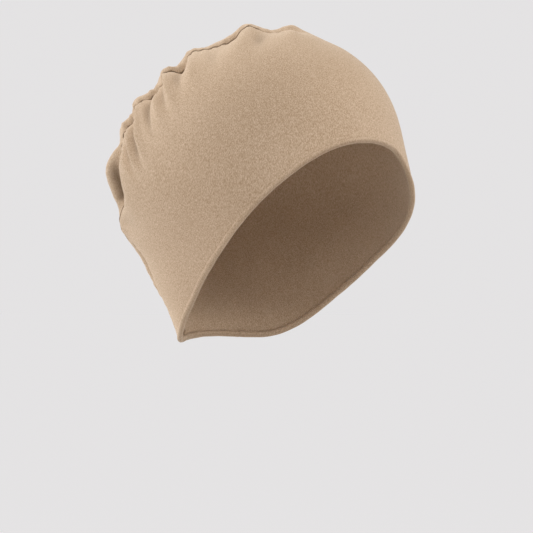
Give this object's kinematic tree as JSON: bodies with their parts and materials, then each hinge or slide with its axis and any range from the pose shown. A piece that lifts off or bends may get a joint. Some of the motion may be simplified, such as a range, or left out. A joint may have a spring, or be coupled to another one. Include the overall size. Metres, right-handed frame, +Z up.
{
  "type": "chemo cap",
  "caption": "Close-fitting soft jersey head cap with a ruched seam over the crown and down the back, and a rolled edge.",
  "frame": {"origin": "where the top of the head meets the inside of the crown", "axes": "+Z up, -Y towards the forehead, -X towards the wearer's right; the head goes in from below along +Z"},
  "size_m": [0.1566, 0.1869, 0.1893],
  "materials": {
    "jersey": "soft matt knitted jersey, tan, faintly heathered",
    "seam": "gathered jersey edges with stitching in a matching thread"
  },
  "bodies": {
    "root": {"crown": "jersey", "crown_seam": "seam", "rim_hem": "jersey"}
  },
  "joints": []
}
